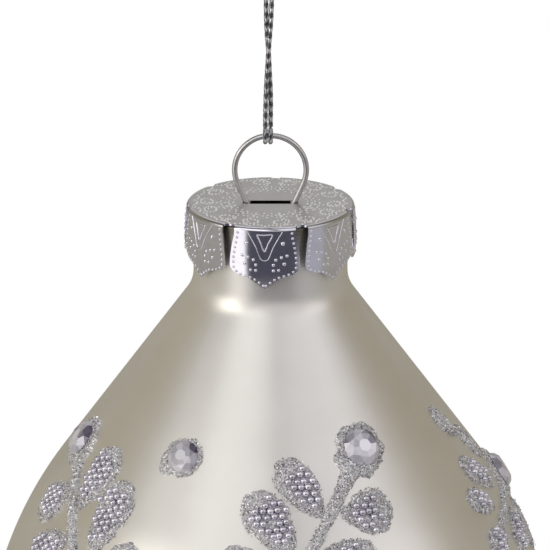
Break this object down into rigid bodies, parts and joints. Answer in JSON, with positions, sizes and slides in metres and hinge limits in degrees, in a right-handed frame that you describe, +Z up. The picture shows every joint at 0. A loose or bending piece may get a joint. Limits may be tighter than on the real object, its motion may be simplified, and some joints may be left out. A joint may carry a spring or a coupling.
{
  "type": "icicle hanging ornament",
  "caption": "Hanging glass ornament shaped as a long icicle drop, with a stamped cap, wire ring, cord loop, and beaded sprigs with rhinestones.",
  "frame": {"origin": "underside of the knot in the hanging cord, where the loop bears on a hook", "axes": "+Z up along the ornament's axis, from the tip to the cord; -Y is the front, and the ring lies in the XZ plane"},
  "size_m": [0.085, 0.085, 0.2313],
  "materials": {
    "lurex_cord": "metallic silver yarn",
    "steel_wire": "polished wire",
    "cap_metal": "stamped bright tinplate",
    "pearl_glass": "satin champagne pearl lacquer",
    "glitter_glue": "silver glitter in clear glue",
    "bead": "silver lilac pearl",
    "rhinestone": "foil-backed faceted stone"
  },
  "bodies": {
    "cord": {"cord_strand_left": "lurex_cord", "cord_strand_right": "lurex_cord", "cord_knot": "lurex_cord"},
    "hitch": {"cord_hitch": "lurex_cord"},
    "clip": {"ring_clip": "steel_wire"},
    "cap": {"cap": "cap_metal"},
    "ornament": {"glass_body": "pearl_glass", "front_right_stem": "glitter_glue", "front_right_leaf_glue": "glitter_glue", "front_right_beads": "bead", "front_right_stone": "rhinestone", "front_right_stone_glue": "glitter_glue", "front_left_stem": "glitter_glue", "front_left_leaf_glue": "glitter_glue", "front_left_beads": "bead", "front_left_stone": "rhinestone", "front_left_stone_glue": "glitter_glue", "side_stem": "glitter_glue", "side_leaf_glue": "glitter_glue", "side_beads": "bead", "side_stone": "rhinestone", "side_stone_glue": "glitter_glue", "back_right_stem": "glitter_glue", "back_right_leaf_glue": "glitter_glue", "back_right_beads": "bead", "back_right_stone": "rhinestone", "back_right_stone_glue": "glitter_glue", "back_left_stem": "glitter_glue", "back_left_leaf_glue": "glitter_glue", "back_left_beads": "bead", "back_left_stone": "rhinestone", "back_left_stone_glue": "glitter_glue", "lone_stones": "rhinestone", "lone_stone_glue": "glitter_glue"}
  },
  "joints": [
    {"name": "cord_twist", "type": "hinge", "parent": "cord", "child": "hitch", "pos_m": [-0.00035, 0, -0.0344], "axis": [0, 0, 1], "range_deg": [-180, 180]},
    {"name": "ring_swing", "type": "hinge", "parent": "hitch", "child": "clip", "pos_m": [0, 0, -0.0344], "axis": [1, 0, 0], "range_deg": [-45, 45]},
    {"name": "clip_tilt", "type": "hinge", "parent": "clip", "child": "cap", "pos_m": [0, 0, -0.0445], "axis": [1, 0, 0], "range_deg": [-8, 8]},
    {"name": "cap_pull", "type": "slide", "parent": "cap", "child": "ornament", "axis": [0, 0, -1], "range_m": [0, 0.03]}
  ]
}
